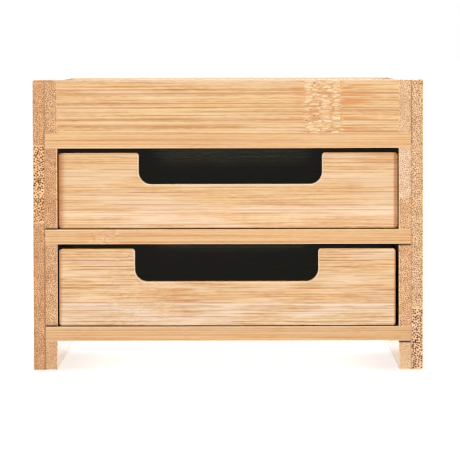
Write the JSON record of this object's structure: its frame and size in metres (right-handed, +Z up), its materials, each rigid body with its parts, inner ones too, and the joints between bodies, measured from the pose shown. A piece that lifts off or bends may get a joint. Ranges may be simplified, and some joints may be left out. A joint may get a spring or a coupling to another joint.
{
  "type": "desktop mini drawers",
  "caption": "Small bamboo desktop drawers: an open tray over drawers with finger notches, between two-ply side panels that form the feet.",
  "frame": {"origin": "middle of the footprint, on the surface that the feet stand on", "axes": "+Z up, +X to the right seen from the front, and the front faces -Y"},
  "size_m": [0.16, 0.13, 0.119],
  "materials": {
    "bamboo_side_ply": "sanded, clear satin oil, end grain in front",
    "bamboo_board": "sanded, clear satin oil",
    "bamboo_drawer_front": "sanded, clear satin oil",
    "bamboo_drawer_box": "sanded, bare",
    "bamboo_bottom_panel": "sanded, bare",
    "dowel_wood": "bare"
  },
  "bodies": {
    "case": {"tray_floor": "bamboo_board", "middle_shelf": "bamboo_board", "bottom_board": "bamboo_board", "tray_front_wall": "bamboo_board", "tray_wall_dowels": "dowel_wood", "back_panel": "bamboo_board", "left_outer_ply": "bamboo_side_ply", "left_inner_ply_tray": "bamboo_side_ply", "left_inner_ply_upper": "bamboo_side_ply", "left_inner_ply_lower": "bamboo_side_ply", "left_inner_ply_foot": "bamboo_side_ply", "right_outer_ply": "bamboo_side_ply", "right_inner_ply_tray": "bamboo_side_ply", "right_inner_ply_upper": "bamboo_side_ply", "right_inner_ply_lower": "bamboo_side_ply", "right_inner_ply_foot": "bamboo_side_ply"},
    "upper_drawer": {"upper_drawer_front": "bamboo_drawer_front", "upper_drawer_left_side": "bamboo_drawer_box", "upper_drawer_right_side": "bamboo_drawer_box", "upper_drawer_back": "bamboo_drawer_box", "upper_drawer_bottom": "bamboo_bottom_panel"},
    "lower_drawer": {"lower_drawer_front": "bamboo_drawer_front", "lower_drawer_left_side": "bamboo_drawer_box", "lower_drawer_right_side": "bamboo_drawer_box", "lower_drawer_back": "bamboo_drawer_box", "lower_drawer_bottom": "bamboo_bottom_panel"}
  },
  "joints": [
    {"name": "upper_drawer_slide", "type": "slide", "parent": "case", "child": "upper_drawer", "axis": [0, -1, 0], "range_m": [0, 0.085]},
    {"name": "lower_drawer_slide", "type": "slide", "parent": "case", "child": "lower_drawer", "axis": [0, -1, 0], "range_m": [-0.0017, 0.0833]}
  ]
}
